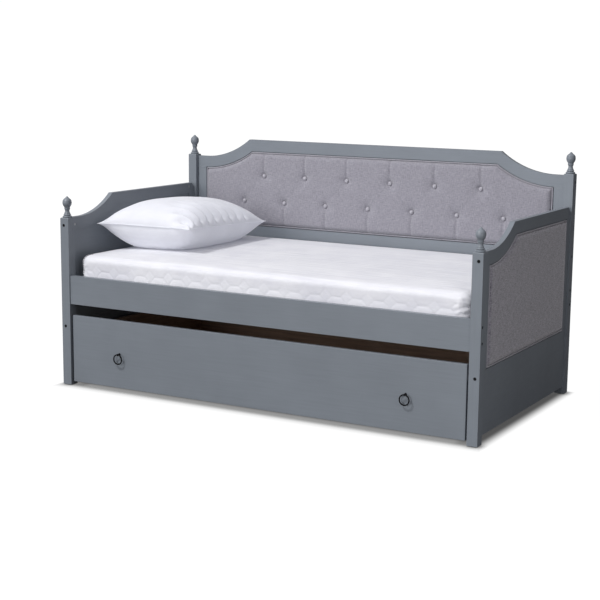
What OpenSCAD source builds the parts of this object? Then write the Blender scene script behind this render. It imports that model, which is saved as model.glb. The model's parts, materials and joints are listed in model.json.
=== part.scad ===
/* [Overall] */
// Width of the bed over the outer faces of the posts
bed_w = 2030; // [2000:10:2060]
// Depth of the bed over the outer faces of the posts
bed_d = 1063; // [1055:1:1075]
// Side of the square posts
post_s = 45; // [44:1:48]
// Height of the front posts without their finials
front_post_h = 763; // [755:1:772]
// Height of the rear posts without their finials
rear_post_h = 993; // [987:1:1000]
// Height of a turned finial
finial_h = 95; // [90:1:100]
// Thickness of the nylon glide under each post
glide_h = 3; // [2:1:5]

/* [Rails and slats] */
// Height of the underside of the front and rear rails
rail_low_z = 375; // [370:1:380]
// Height of the top of the front and rear rails
rail_top_z = 503; // [495:1:510]
// Thickness of the front and rear rails
rail_t = 25; // [22:1:28]
// Number of bed slats
bed_slat_count = 14; // [10:1:16]
// Width of a bed slat
bed_slat_w = 70; // [60:1:80]
// Thickness of a bed slat
bed_slat_t = 15; // [12:1:18]

/* [Arms] */
// Thickness of the arm frames
arm_t = 22; // [20:1:26]
// Inset of the arm's outer face from the outer face of the posts
arm_inset = 8; // [6:1:12]
// Height of the arm's flat top
arm_top_z = 849; // [840:1:855]
// Height of the arm where it meets the front post
arm_front_z = 762; // [755:1:770]
// Distance of the arm's top corner behind the front face of the posts
arm_corner_y = 343; // [330:1:360]
// Height of the top of the solid lower panel
lower_panel_z = 296; // [290:1:320]

/* [Headboard] */
// Height of the headboard's flat top
head_top_z = 1077; // [1070:1:1084]
// Height of the headboard where it meets the posts
head_side_z = 985; // [980:1:990]
// Half width of the headboard's flat top
head_corner_x = 665; // [650:1:680]
// Height of the underside of the headboard
head_low_z = 597; // [585:1:610]
// Thickness of the headboard frame
head_t = 22; // [20:1:24]
// Distance of the headboard's face behind the front face of the rear posts
head_recess = 19; // [16:1:20]

/* [Bedding] */
// Length of the mattress
mattress_w = 1900; // [1880:1:1910]
// Width of the mattress
mattress_d = 988; // [980:1:990]
// Thickness of the mattress
mattress_h = 174; // [165:1:185]
// Long side of the pillow
pillow_long = 690; // [640:1:720]
// Short side of the pillow
pillow_short = 466; // [440:1:480]
// Thickness of the pillow at its middle
pillow_h = 222; // [200:1:240]

/* [Trundle] */
// Height of the top of the trundle's front board
trundle_front_z = 324; // [315:1:330]
// Height of the underside of the trundle's boards
trundle_low_z = 19; // [15:1:25]
// Gap between the trundle's front board and each post
trundle_gap = 10; // [8:1:14]
// Height of the top of the trundle's side and back boards
trundle_side_z = 262; // [250:1:270]
// Diameter of a trundle wheel
wheel_d = 50; // [44:1:52]
// Number of trundle slats
trundle_slat_count = 13; // [10:1:15]

/* [Ring pulls] */
// Outer diameter of a pull ring
ring_d = 48; // [44:1:52]
// Thickness of the ring's wire
ring_wire_d = 5.6; // [4:0.2:6]
// Distance of each pull from the middle of the bed
pull_x = 702; // [650:1:740]
// Height of a ring's centre
pull_z = 152; // [145:1:165]

/* [Hidden] */
$fn = 48;

// Shared half sizes and levels
half_w = bed_w / 2;
post_in_x = half_w - post_s;
rear_post_y = bed_d - post_s;
touch = 0.01;

// Pull rings and their eyelets, which stand furthest forward
trundle_face_y = 7;
ring_stand_off = 14;
eye_r = 5;
eye_hole_r = 3.15;
eye_w = 3;
stem_r = 2.4;
collar_r = 5.5;
collar_t = 2;
ring_y = trundle_face_y - ring_stand_off;
ring_wire_r = ring_wire_d / 2;
ring_turn_r = ring_d / 2 - ring_wire_r;
hinge_z = pull_z + ring_turn_r;
front_reach = eye_r - ring_y;

// Rails
rail_front_y = 5;
rear_rail_y = bed_d - 8 - rail_t;
cleat_d = 20;
cleat_z = 387;
slat_top_z = 432;
slat_low_z = slat_top_z - bed_slat_t;
webbing_w = 30;
webbing_t = 1.5;

// Arms: the upper edge sweeps up on an arc whose centre lies above the arc's start
arm_out_x = half_w - arm_inset;
arm_in_x = arm_out_x - arm_t;
arm_mid_x = arm_out_x - arm_t / 2;
arm_low_z = 35;
arm_arc_y = 100;
arm_rise = arm_top_z - arm_front_z;
arm_run = arm_corner_y - arm_arc_y;
arm_arc_r = (arm_run * arm_run + arm_rise * arm_rise) / (2 * arm_rise);
arm_arc_z = arm_front_z + arm_arc_r;
arm_frame_w = 55;
arm_flat_w = 51;
arm_front_stile_w = 42;
arm_rear_stile_w = 40;
arm_chamfer = 18;

// Headboard: its ends sweep up on arcs of the same kind
head_face_y = rear_post_y + head_recess;
head_mid_y = head_face_y + head_t / 2;
head_arc_x = 925;
head_rise = head_top_z - head_side_z;
head_run = head_arc_x - head_corner_x;
head_arc_r = (head_run * head_run + head_rise * head_rise) / (2 * head_rise);
head_arc_z = head_side_z + head_arc_r;
head_frame_w = 54;
head_open_x = 920;
head_open_low_z = 650;
head_joint_z = 927;
head_open_top_z = head_top_z - 57;

// Upholstery shared by the arms and the headboard
board_t = 6;
board_recess = 4;
welt_w = 6;
welt_gap = 1;
pad_proud = 4;
head_pad_proud = 8;
button_r = 9.5;
button_t = 4;
button_pitch = 230;
button_low_z = 774;
button_high_z = 902;
button_low_xs = [for (i = [-3 : 3]) i * button_pitch];
button_high_xs = [for (i = [-2.5 : 2.5]) i * button_pitch];

// Fasteners
head_r = 6.5;
head_l = 5;
socket_r = 3.2;
socket_depth = 3;
sink_r = 7;
sink_depth = 6.5;
bolt_r = 3;
bolt_hole_r = 3.4;
nut_r = 6;
nut_hole_r = 6.1;
nut_l = 16;
nut_offset = 20;
arm_bolt_low_z = 272;
front_bolt_z = 729;
rear_bolt_z = 831;
rail_bolt_zs = [408, 473];
head_bolt_zs = [624, 954];

// Mattress and pillow
mattress_r = 50;
mattress_y = rail_front_y + rail_t + 6;
pillow_tips = [[-960, 200, 722], [-497, 260, 720], [-516, 944, 690], [-970, 884, 700]];
pillow_tip_r = 6;

// Trundle
board_w = 20;
trundle_half_w = post_in_x - trundle_gap;
trundle_side_x = 945;
trundle_back_y = 1006;
deck_top_z = 78;
deck_slat_t = 12;
deck_slat_w = 75;
deck_low_z = deck_top_z - deck_slat_t;
deck_cleat_h = 18;
deck_cleat_d = 20;
centre_rail_w = 45;
centre_rail_h = 26;
bumper_h = 30;
bumper_w = 14;
bumper_t = 4;
bumper_z = 272;

// Casters
wheel_r = wheel_d / 2;
wheel_w = 20;
wheel_x = trundle_side_x - board_w - 22;
caster_front_y = 115;
caster_rear_y = 915;
axle_r = 3;
wheel_bore_r = 3.08;
plate_t = 3;
housing_w = 40;
housing_inner_x = wheel_x - wheel_w / 2 - 4;
housing_top_z = wheel_d + 6;

function arc(cx, cy, r, from, to, n = 14) =
    [for (i = [0 : n]) let (a = from + (to - from) * i / n) [cx + r * cos(a), cy + r * sin(a)]];
// Angle below the centre at which an arc reaches a height
function arc_angle(cz, r, z) = asin((z - cz) / r);

// Puts what is drawn from the posts' front face at the middle of the footprint
module from_front() { translate([0, (front_reach - bed_d) / 2, 0]) children(); }
module both_sides() {
    children();
    mirror([1, 0, 0]) children();
}
module block(low, high) { translate(low) cube(high - low); }
module along_x(r, x0, x1, y, z) { translate([x0, y, z]) rotate([0, 90, 0]) cylinder(r = r, h = x1 - x0); }
module along_y(r, y0, y1, x, z) { translate([x, y0, z]) rotate([-90, 0, 0]) cylinder(r = r, h = y1 - y0); }
// Extrudes an outline drawn in depth and height, from one width to another
module slab_x(x0, x1) { translate([x0, 0, 0]) rotate([90, 0, 90]) linear_extrude(x1 - x0) children(); }
// Extrudes an outline drawn in width and height, from one depth to another
module slab_y(y0, y1) { translate([0, y1, 0]) rotate([90, 0, 0]) linear_extrude(y1 - y0) children(); }

// ---- Posts and finials ----
module post(side, y0, height) {
    bevel = 3;
    x0 = side > 0 ? post_in_x : -half_w;
    translate([x0, y0, 0]) difference() {
        block([0, 0, glide_h], [post_s, post_s, height]);
        for (turn = [0 : 3])
            translate([post_s / 2, post_s / 2, height]) rotate([0, 0, 90 * turn])
                translate([0, -post_s / 2, 0]) rotate([45, 0, 0])
                    cube([2 * post_s, bevel * sqrt(2), bevel * sqrt(2)], center = true);
    }
}
module rail_holes(side, y0) {
    for (z = rail_bolt_zs) {
        along_x(bolt_hole_r, -half_w - touch, -post_in_x + touch, y0, z);
        along_x(sink_r, -half_w - touch, -half_w + sink_depth, y0, z);
    }
}
module front_post(side) {
    color("slategray") from_front() difference() {
        post(side, 0, front_post_h);
        for (z = [arm_bolt_low_z, front_bolt_z]) {
            along_y(bolt_hole_r, -touch, post_s + touch, side * arm_mid_x, z);
            along_y(sink_r, -touch, sink_depth, side * arm_mid_x, z);
        }
        mirror([side > 0 ? 1 : 0, 0, 0]) rail_holes(side, rail_front_y + rail_t / 2);
    }
}
module rear_post(side) {
    color("slategray") from_front() difference() {
        post(side, rear_post_y, rear_post_h);
        for (z = [arm_bolt_low_z, rear_bolt_z]) {
            along_y(bolt_hole_r, rear_post_y - touch, bed_d + touch, side * arm_mid_x, z);
            along_y(sink_r, bed_d - sink_depth, bed_d + touch, side * arm_mid_x, z);
        }
        mirror([side > 0 ? 1 : 0, 0, 0]) {
            rail_holes(side, rear_rail_y + rail_t / 2);
            for (z = head_bolt_zs) {
                along_x(bolt_hole_r, -half_w - touch, -post_in_x + touch, head_mid_y, z);
                along_x(sink_r, -half_w - touch, -half_w + sink_depth, head_mid_y, z);
            }
        }
    }
}
module front_left_post() { front_post(-1); }
module front_right_post() { front_post(1); }
module rear_left_post() { rear_post(-1); }
module rear_right_post() { rear_post(1); }

// Turned profile: base disc, vase, neck groove and an egg with a small tip
module finial(side, y0, z0) {
    k = finial_h / 95;
    color("slategray") from_front()
        translate([side * (half_w - post_s / 2), y0 + post_s / 2, z0]) scale([k, k, k])
            rotate_extrude() polygon(concat([[0, 0], [19, 0]], arc(17, 4, 4, -30, 90, 6),
                [[14.5, 8.5]], arc(13.5, 12.5, 3.2, -80, 80, 6), [[13.2, 17]],
                arc(27, 30, 17, 218, 158, 8), [[13.4, 37.5], [13.4, 39.5], [11.6, 40.5]],
                arc(-6.4, 66.5, 26.9, -42, 20, 12), arc(-4, 64.5, 26.2, 26, 62, 6),
                [[5.2, 91.5], [3.4, 94], [0, 95]]));
}
module front_left_finial() { finial(-1, 0, front_post_h); }
module front_right_finial() { finial(1, 0, front_post_h); }
module rear_left_finial() { finial(-1, rear_post_y, rear_post_h); }
module rear_right_finial() { finial(1, rear_post_y, rear_post_h); }

module foot_glides() {
    glide_r = 17;
    color("dimgray") from_front()
        for (x = [-1, 1], y = [0, rear_post_y])
            translate([x * (half_w - post_s / 2), y + post_s / 2, 0]) cylinder(r = glide_r, h = glide_h);
}

// A round-ended pad inside the front right post, beside the trundle's front board
module post_bumper() {
    pad_r = bumper_w / 2;
    mid_y = trundle_face_y + board_w / 2;
    color("white") from_front() slab_x(post_in_x - bumper_t, post_in_x) {
        for (z = [-1, 1]) translate([mid_y, bumper_z + z * (bumper_h / 2 - pad_r)]) circle(pad_r);
        translate([mid_y - pad_r, bumper_z - bumper_h / 2 + pad_r]) square([bumper_w, bumper_h - bumper_w]);
    }
}

// ---- Rails, cleats and slats ----
module rail(y0, nut_side_y) {
    difference() {
        block([-post_in_x, y0, rail_low_z], [post_in_x, y0 + rail_t, rail_top_z]);
        both_sides() for (z = rail_bolt_zs) {
            along_x(bolt_hole_r, post_in_x - nut_offset - 2 * nut_r, post_in_x + touch, y0 + rail_t / 2, z);
            along_y(nut_hole_r, nut_side_y - nut_l - 2, nut_side_y + nut_l + 2, post_in_x - nut_offset, z);
        }
    }
}
module front_rail() {
    color("slategray") from_front() rail(rail_front_y, rail_front_y + rail_t);
}
module rear_rail() {
    color("slategray") from_front() rail(rear_rail_y, rear_rail_y);
}
module bed_cleats() {
    cleat_half = post_in_x - 45;
    color("burlywood") from_front() {
        block([-cleat_half, rail_front_y + rail_t, cleat_z],
            [cleat_half, rail_front_y + rail_t + cleat_d, slat_low_z]);
        block([-cleat_half, rear_rail_y - cleat_d, cleat_z], [cleat_half, rear_rail_y, slat_low_z]);
    }
}
module bed_slats() {
    first_x = -(post_in_x - 60);
    pitch = -2 * first_x / (bed_slat_count - 1);
    color("burlywood") from_front() for (i = [0 : bed_slat_count - 1])
        block([first_x + pitch * i - bed_slat_w / 2, rail_front_y + rail_t + 1, slat_low_z],
            [first_x + pitch * i + bed_slat_w / 2, rear_rail_y - 1, slat_top_z - webbing_t]);
}
module slat_webbing() {
    strap_half = post_in_x - 30;
    color("black") from_front() for (y = [bed_d / 3, bed_d * 2 / 3])
        block([-strap_half, y - webbing_w / 2, slat_top_z - webbing_t],
            [strap_half, y + webbing_w / 2, slat_top_z]);
}

// ---- Headboard ----
// One half of the opening's outline, from the flat top's end round to the bottom corner
function head_half(inset) =
    let (r = head_arc_r + head_frame_w + inset, top = head_open_top_z - inset, side = head_open_x - inset)
    concat(arc(head_arc_x, head_arc_z, r, 180 - arc_angle(head_arc_z, r, top),
            180 + acos((head_arc_x - side) / r)),
        [[side, head_open_low_z + inset]]);
module head_opening(inset) {
    half = head_half(inset);
    polygon(concat(half, [for (i = [len(half) - 1 : -1 : 0]) [-half[i][0], half[i][1]]]));
}
module head_outline() {
    start = 180 - arc_angle(head_arc_z, head_arc_r, head_top_z);
    half = concat(arc(head_arc_x, head_arc_z, head_arc_r, start, 270), [[post_in_x, head_side_z]]);
    polygon(concat(half, [[post_in_x, head_joint_z], [-post_in_x, head_joint_z]],
        [for (i = [len(half) - 1 : -1 : 0]) [-half[i][0], half[i][1]]]));
}
module head_bolt_holes(z) {
    both_sides() {
        along_x(bolt_hole_r, post_in_x - nut_offset - 2 * nut_r, post_in_x + touch, head_mid_y, z);
        along_y(nut_hole_r, head_mid_y - nut_r, head_face_y + head_t + touch, post_in_x - nut_offset, z);
    }
}
module headboard_top_rail() {
    color("slategray") from_front() difference() {
        slab_y(head_face_y, head_face_y + head_t) difference() {
            head_outline();
            head_opening(0);
        }
        head_bolt_holes(head_bolt_zs[1]);
    }
}
module headboard_stile() {
    block([head_open_x, head_face_y, head_open_low_z], [post_in_x, head_face_y + head_t, head_joint_z]);
}
module headboard_left_stile() { color("slategray") from_front() mirror([1, 0, 0]) headboard_stile(); }
module headboard_right_stile() { color("slategray") from_front() headboard_stile(); }
module headboard_bottom_rail() {
    color("slategray") from_front() difference() {
        block([-post_in_x, head_face_y, head_low_z], [post_in_x, head_face_y + head_t, head_open_low_z]);
        head_bolt_holes(head_bolt_zs[0]);
    }
}
module headboard_backing() {
    back_y = head_face_y + head_t - board_recess;
    color("slategray") from_front() slab_y(back_y - board_t, back_y) head_opening(0);
}
module headboard_cushion() {
    back_y = head_face_y + head_t - board_recess - board_t;
    color("darkgray") from_front()
        slab_y(head_face_y - head_pad_proud, back_y) head_opening(welt_gap + welt_w);
}
module headboard_piping() {
    color("gray") from_front() slab_y(head_face_y - 2, head_face_y + welt_w) difference() {
        head_opening(welt_gap);
        head_opening(welt_gap + welt_w);
    }
}
module headboard_buttons() {
    pad_y = head_face_y - head_pad_proud;
    color("darkgray") from_front() {
        for (x = button_low_xs)
            along_y(button_r, pad_y - button_t, pad_y, x, button_low_z);
        for (x = button_high_xs)
            along_y(button_r, pad_y - button_t, pad_y, x, button_high_z);
    }
}

// ---- Arms, drawn for the right and mirrored for the left ----
module arm_outline() {
    end = arc_angle(arm_arc_z, arm_arc_r, arm_top_z);
    polygon(concat([[post_s, arm_front_z]], arc(arm_arc_y, arm_arc_z, arm_arc_r, -90, end),
        [[rear_post_y - arm_chamfer, arm_top_z], [rear_post_y, arm_top_z - arm_chamfer],
        [rear_post_y, lower_panel_z], [post_s, lower_panel_z]]));
}
module arm_opening(inset) {
    r = arm_arc_r + arm_frame_w + inset;
    top = arm_top_z - arm_flat_w - inset;
    front = post_s + arm_front_stile_w + inset;
    polygon(concat(arc(arm_arc_y, arm_arc_z, r, 180 + acos((arm_arc_y - front) / r),
            360 + arc_angle(arm_arc_z, r, top)),
        [[rear_post_y - arm_rear_stile_w - inset, top],
        [rear_post_y - arm_rear_stile_w - inset, lower_panel_z + inset], [front, lower_panel_z + inset]]));
}
// Height of the underside of the top rail at the front stile and at the rear stile
front_stile_z = arm_arc_z - sqrt(pow(arm_arc_r + arm_frame_w, 2)
    - pow(arm_arc_y - post_s - arm_front_stile_w, 2));
rear_stile_z = arm_top_z - arm_flat_w;
module arm_bolt_holes(y, z, from_y, to_y) {
    along_y(bolt_hole_r, from_y, to_y, arm_mid_x, z);
    along_x(nut_hole_r, arm_in_x - touch, arm_mid_x + 5, y, z);
}
module arm_top_rail() {
    difference() {
        slab_x(arm_in_x, arm_out_x) difference() {
            arm_outline();
            arm_opening(0);
            translate([0, lower_panel_z - 1])
                square([post_s + arm_front_stile_w, front_stile_z - lower_panel_z + 1]);
            translate([rear_post_y - arm_rear_stile_w - touch, lower_panel_z - 1])
                square([2 * arm_rear_stile_w, rear_stile_z - lower_panel_z + 1]);
        }
        arm_bolt_holes(post_s + nut_offset, front_bolt_z, post_s - touch, post_s + nut_offset + 2 * nut_r);
        arm_bolt_holes(rear_post_y - nut_offset * 2, rear_bolt_z, rear_post_y - nut_offset * 2 - 2 * nut_r,
            rear_post_y + touch);
    }
}
module arm_front_stile() {
    block([arm_in_x, post_s, lower_panel_z], [arm_out_x, post_s + arm_front_stile_w, front_stile_z]);
}
module arm_rear_stile() {
    block([arm_in_x, rear_post_y - arm_rear_stile_w, lower_panel_z], [arm_out_x, rear_post_y, rear_stile_z]);
}
module arm_lower_panel() {
    difference() {
        block([arm_in_x, post_s, arm_low_z], [arm_out_x, rear_post_y, lower_panel_z]);
        arm_bolt_holes(post_s + nut_offset, arm_bolt_low_z, post_s - touch, post_s + nut_offset + 2 * nut_r);
        arm_bolt_holes(rear_post_y - nut_offset * 2, arm_bolt_low_z,
            rear_post_y - nut_offset * 2 - 2 * nut_r, rear_post_y + touch);
    }
}
module arm_backing() {
    slab_x(arm_in_x + board_recess, arm_in_x + board_recess + board_t) arm_opening(0);
}
module arm_cushion() {
    slab_x(arm_in_x + board_recess + board_t, arm_out_x + pad_proud) arm_opening(welt_gap + welt_w);
}
module arm_piping() {
    slab_x(arm_out_x - welt_w, arm_out_x + 2) difference() {
        arm_opening(welt_gap);
        arm_opening(welt_gap + welt_w);
    }
}
module right_arm_top_rail() { color("slategray") from_front() arm_top_rail(); }
module right_arm_front_stile() { color("slategray") from_front() arm_front_stile(); }
module right_arm_rear_stile() { color("slategray") from_front() arm_rear_stile(); }
module right_arm_lower_panel() { color("slategray") from_front() arm_lower_panel(); }
module right_arm_backing() { color("slategray") from_front() arm_backing(); }
module right_arm_cushion() { color("darkgray") from_front() arm_cushion(); }
module right_arm_piping() { color("gray") from_front() arm_piping(); }
module left_arm_top_rail() { mirror([1, 0, 0]) right_arm_top_rail(); }
module left_arm_front_stile() { mirror([1, 0, 0]) right_arm_front_stile(); }
module left_arm_rear_stile() { mirror([1, 0, 0]) right_arm_rear_stile(); }
module left_arm_lower_panel() { mirror([1, 0, 0]) right_arm_lower_panel(); }
module left_arm_backing() { mirror([1, 0, 0]) right_arm_backing(); }
module left_arm_cushion() { mirror([1, 0, 0]) right_arm_cushion(); }
module left_arm_piping() { mirror([1, 0, 0]) right_arm_piping(); }

// ---- Fasteners of the frame ----
// A bolt along +X with its head at the origin
module bolt(length) {
    difference() {
        cylinder(r = head_r, h = head_l);
        translate([0, 0, -touch]) cylinder(r = socket_r, h = socket_depth, $fn = 6);
    }
    translate([0, 0, head_l - touch]) cylinder(r = bolt_r, h = length - head_l);
}
module arm_bolts() {
    grip = sink_depth - head_l;
    color("black") from_front() both_sides() {
        for (z = [arm_bolt_low_z, front_bolt_z])
            translate([arm_mid_x, grip, z]) rotate([-90, 0, 0]) bolt(post_s + nut_offset + nut_r - grip);
        for (z = [arm_bolt_low_z, rear_bolt_z])
            translate([arm_mid_x, bed_d - grip, z]) rotate([90, 0, 0])
                bolt(post_s + nut_offset * 2 + nut_r - grip);
    }
}
module side_bolt(y, z) {
    grip = sink_depth - head_l;
    translate([half_w - grip, y, z]) rotate([0, -90, 0]) bolt(post_s + nut_offset + nut_r - grip);
}
module rail_bolts() {
    color("black") from_front() both_sides()
        for (y = [rail_front_y, rear_rail_y], z = rail_bolt_zs)
            side_bolt(y + rail_t / 2, z);
}
module headboard_bolts() {
    color("black") from_front() both_sides() for (z = head_bolt_zs) side_bolt(head_mid_y, z);
}
// A barrel nut along +X, cross drilled for its bolt, with its slotted end outwards
module barrel_nut_x(x0, x1, y, z) {
    difference() {
        along_x(nut_r, x0, x1, y, z);
        along_y(bolt_hole_r, y - 2 * nut_r, y + 2 * nut_r, arm_mid_x, z);
    }
}
module barrel_nut_y(y0, y1, bore_y, z) {
    x = post_in_x - nut_offset;
    difference() {
        along_y(nut_r, y0, y1, x, z);
        along_x(bolt_hole_r, x - 2 * nut_r, x + 2 * nut_r, bore_y, z);
    }
}
module barrel_nuts() {
    sunk = 1;
    color("gray") from_front() both_sides() {
        for (y = [post_s + nut_offset, rear_post_y - nut_offset * 2])
            barrel_nut_x(arm_in_x + sunk, arm_mid_x + 5, y, arm_bolt_low_z);
        barrel_nut_x(arm_in_x + sunk, arm_mid_x + 5, post_s + nut_offset, front_bolt_z);
        barrel_nut_x(arm_in_x + sunk, arm_mid_x + 5, rear_post_y - nut_offset * 2, rear_bolt_z);
        for (z = rail_bolt_zs) {
            barrel_nut_y(rail_front_y + rail_t - nut_l, rail_front_y + rail_t - sunk,
                rail_front_y + rail_t / 2, z);
            barrel_nut_y(rear_rail_y + sunk, rear_rail_y + nut_l, rear_rail_y + rail_t / 2, z);
        }
        for (z = head_bolt_zs)
            barrel_nut_y(head_mid_y - nut_r, head_face_y + head_t - sunk, head_mid_y, z);
    }
}

// ---- Mattress and pillow ----
module mattress() {
    color("white") from_front() translate([0, mattress_y, slat_top_z]) linear_extrude(mattress_h)
        difference() {
            translate([-mattress_w / 2, 0]) square([mattress_w, mattress_d]);
            for (x = [-1, 1], y = [0, 1]) translate([x * mattress_w / 2, y * mattress_d])
                difference() {
                    square(2 * mattress_r, center = true);
                    translate([-x * mattress_r, (1 - 2 * y) * mattress_r]) circle(mattress_r);
                }
        }
}
module pillow() {
    low_z = slat_top_z + mattress_h;
    centre = (pillow_tips[0] + pillow_tips[1] + pillow_tips[2] + pillow_tips[3]) / 4;
    body_scale = [0.86 * pillow_short, 0.86 * pillow_long, pillow_h] / 2;
    color("white") from_front() hull() {
        translate([centre[0], centre[1], low_z + pillow_h / 2]) scale(body_scale) sphere(1, $fn = 32);
        for (tip = pillow_tips) translate(tip) sphere(pillow_tip_r, $fn = 16);
        translate([centre[0], centre[1], low_z])
            scale([pillow_short / pillow_long, 1, 1]) cylinder(r = 0.3 * pillow_long, h = 1, $fn = 32);
    }
}

// ---- Trundle ----
module trundle_front() {
    color("slategray") from_front()
        block([-trundle_half_w, trundle_face_y, trundle_low_z],
            [trundle_half_w, trundle_face_y + board_w, trundle_front_z]);
}
module trundle_side() {
    block([trundle_side_x - board_w, trundle_face_y + board_w, trundle_low_z],
        [trundle_side_x, trundle_back_y - board_w, trundle_side_z]);
}
module trundle_left_side() { color("saddlebrown") from_front() mirror([1, 0, 0]) trundle_side(); }
module trundle_right_side() { color("saddlebrown") from_front() trundle_side(); }
module trundle_back() {
    color("saddlebrown") from_front()
        block([-trundle_side_x, trundle_back_y - board_w, trundle_low_z],
            [trundle_side_x, trundle_back_y, trundle_side_z]);
}
module trundle_cleats() {
    half = trundle_side_x - board_w;
    color("burlywood") from_front() {
        block([-half, trundle_face_y + board_w, deck_low_z - deck_cleat_h],
            [half, trundle_face_y + board_w + deck_cleat_d, deck_low_z]);
        block([-half, trundle_back_y - board_w - deck_cleat_d, deck_low_z - deck_cleat_h],
            [half, trundle_back_y - board_w, deck_low_z]);
    }
}
module trundle_centre_rail() {
    half = trundle_side_x - board_w;
    mid_y = (trundle_face_y + trundle_back_y) / 2;
    color("burlywood") from_front()
        block([-half, mid_y - centre_rail_w / 2, deck_low_z - centre_rail_h],
            [half, mid_y + centre_rail_w / 2, deck_low_z]);
}
module trundle_slats() {
    first_x = -(trundle_side_x - board_w - deck_slat_w / 2 - 8);
    pitch = -2 * first_x / (trundle_slat_count - 1);
    color("burlywood") from_front() for (i = [0 : trundle_slat_count - 1])
        block([first_x + pitch * i - deck_slat_w / 2, trundle_face_y + board_w + 1, deck_low_z],
            [first_x + pitch * i + deck_slat_w / 2, trundle_back_y - board_w - 1, deck_top_z]);
}

// ---- Casters: a bent plate on the side board, an axle and a wheel ----
module each_caster() {
    both_sides() for (y = [caster_front_y, caster_rear_y]) translate([0, y, 0]) children();
}
module caster_housings() {
    wall_x = trundle_side_x - board_w;
    color("silver") from_front() each_caster() difference() {
        union() {
            block([wall_x - plate_t, -housing_w / 2, 12], [wall_x, housing_w / 2, housing_top_z + plate_t]);
            block([housing_inner_x - plate_t, -housing_w / 2, housing_top_z],
                [wall_x, housing_w / 2, housing_top_z + plate_t]);
            block([housing_inner_x - plate_t, -housing_w / 2, 12],
                [housing_inner_x, housing_w / 2, housing_top_z + plate_t]);
        }
        along_x(axle_r, housing_inner_x - 2 * plate_t, wall_x + touch, 0, wheel_r);
    }
}
module caster_axles() {
    wall_x = trundle_side_x - board_w;
    color("silver") from_front() each_caster() {
        along_x(axle_r, housing_inner_x - 2 * plate_t, wall_x, 0, wheel_r);
        along_x(axle_r + 1.5, housing_inner_x - 2 * plate_t, housing_inner_x - plate_t, 0, wheel_r);
    }
}
// A wheel with a rounded tread, a recessed web on both sides and a hub
module wheel(side, y) {
    tread = 3;
    web = 3;
    hub_r = 8;
    rim_r = wheel_r - 6;
    half = wheel_w / 2;
    hub_half = half + 2;
    color("dimgray") from_front() translate([side * wheel_x, y, wheel_r]) rotate([0, 90, 0])
        rotate_extrude() polygon(concat([[wheel_bore_r, -hub_half], [hub_r, -hub_half], [hub_r, web - half],
            [rim_r, web - half], [rim_r, -half]],
            arc(wheel_r - tread, tread - half, tread, -90, 0, 4),
            arc(wheel_r - tread, half - tread, tread, 0, 90, 4),
            [[rim_r, half], [rim_r, half - web], [hub_r, half - web],
            [hub_r, hub_half], [wheel_bore_r, hub_half]]));
}
module front_left_wheel() { wheel(-1, caster_front_y); }
module front_right_wheel() { wheel(1, caster_front_y); }
module rear_left_wheel() { wheel(-1, caster_rear_y); }
module rear_right_wheel() { wheel(1, caster_rear_y); }

// ---- Ring pulls ----
module pull_eyelets() {
    color("black") from_front() both_sides() difference() {
        union() {
            along_y(collar_r, trundle_face_y - collar_t, trundle_face_y, pull_x, hinge_z);
            along_y(stem_r, ring_y + (eye_r + eye_hole_r) / 2, trundle_face_y - collar_t / 2,
                pull_x, hinge_z);
            along_x(eye_r, pull_x - eye_w / 2, pull_x + eye_w / 2, ring_y, hinge_z);
        }
        along_x(eye_hole_r, pull_x - eye_w, pull_x + eye_w, ring_y, hinge_z);
    }
}
module pull_ring(side) {
    color("black") from_front() translate([side * pull_x, ring_y, pull_z]) rotate([90, 0, 0])
        rotate_extrude($fn = 96) translate([ring_turn_r, 0]) circle(ring_wire_r, $fn = 24);
}
module left_pull_ring() { pull_ring(-1); }
module right_pull_ring() { pull_ring(1); }

front_left_post();
front_right_post();
rear_left_post();
rear_right_post();
front_left_finial();
front_right_finial();
rear_left_finial();
rear_right_finial();
foot_glides();
post_bumper();
front_rail();
rear_rail();
bed_cleats();
bed_slats();
slat_webbing();
headboard_top_rail();
headboard_left_stile();
headboard_right_stile();
headboard_bottom_rail();
headboard_backing();
headboard_cushion();
headboard_piping();
headboard_buttons();
left_arm_top_rail();
left_arm_front_stile();
left_arm_rear_stile();
left_arm_lower_panel();
left_arm_backing();
left_arm_cushion();
left_arm_piping();
right_arm_top_rail();
right_arm_front_stile();
right_arm_rear_stile();
right_arm_lower_panel();
right_arm_backing();
right_arm_cushion();
right_arm_piping();
arm_bolts();
rail_bolts();
headboard_bolts();
barrel_nuts();
mattress();
pillow();
trundle_front();
trundle_left_side();
trundle_right_side();
trundle_back();
trundle_cleats();
trundle_centre_rail();
trundle_slats();
caster_housings();
caster_axles();
pull_eyelets();
left_pull_ring();
right_pull_ring();
front_left_wheel();
front_right_wheel();
rear_left_wheel();
rear_right_wheel();
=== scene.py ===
import json
import math

import bmesh
import bpy
from mathutils import Matrix, Vector, noise


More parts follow.
